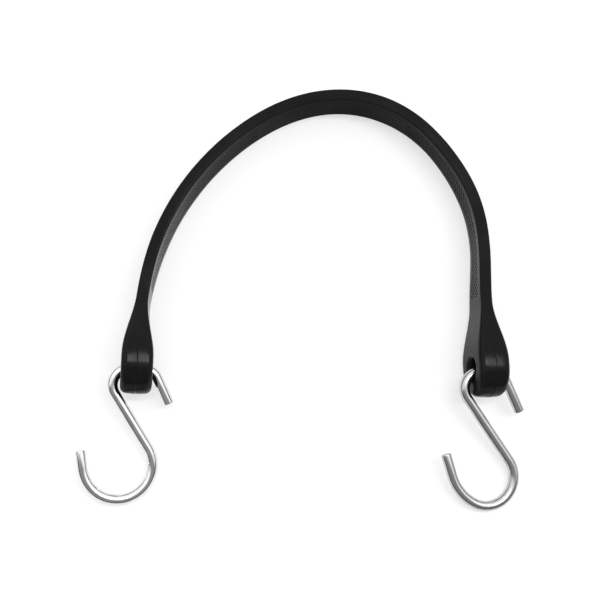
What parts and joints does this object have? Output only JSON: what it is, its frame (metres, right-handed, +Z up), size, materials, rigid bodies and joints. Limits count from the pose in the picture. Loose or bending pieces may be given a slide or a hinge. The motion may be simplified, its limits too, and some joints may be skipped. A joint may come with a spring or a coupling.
{
  "type": "rubber tie-down strap",
  "caption": "Moulded rubber tie-down strap bent into an arch, with a bent-wire S-hook hanging loose in the thick eye at each end.",
  "frame": {"origin": "on the ground, under the centre of the object's bounding box", "axes": "+X from the left eye towards the right eye, +Y from the hooks towards the top of the arch, +Z up from the ground"},
  "size_m": [0.209, 0.204, 0.0281],
  "materials": {
    "rubber": "moulded black rubber, satin",
    "hook_steel": "bright zinc-plated steel wire"
  },
  "bodies": {
    "strap": {"rubber_strap": "rubber"},
    "left_hook": {"left_s_hook": "hook_steel"},
    "right_hook": {"right_s_hook": "hook_steel"}
  },
  "joints": [
    {"name": "left_hook_swing", "type": "hinge", "parent": "strap", "child": "left_hook", "pos_m": [-0.07695, -0.03443, 0.01405], "axis": [0.9875, -0.0175, -0.1564], "range_deg": [-118, 95]},
    {"name": "right_hook_swing", "type": "hinge", "parent": "strap", "child": "right_hook", "pos_m": [0.08624, -0.03652, 0.01402], "axis": [0.9886, 0.0275, -0.1478], "range_deg": [-116, 96]}
  ]
}
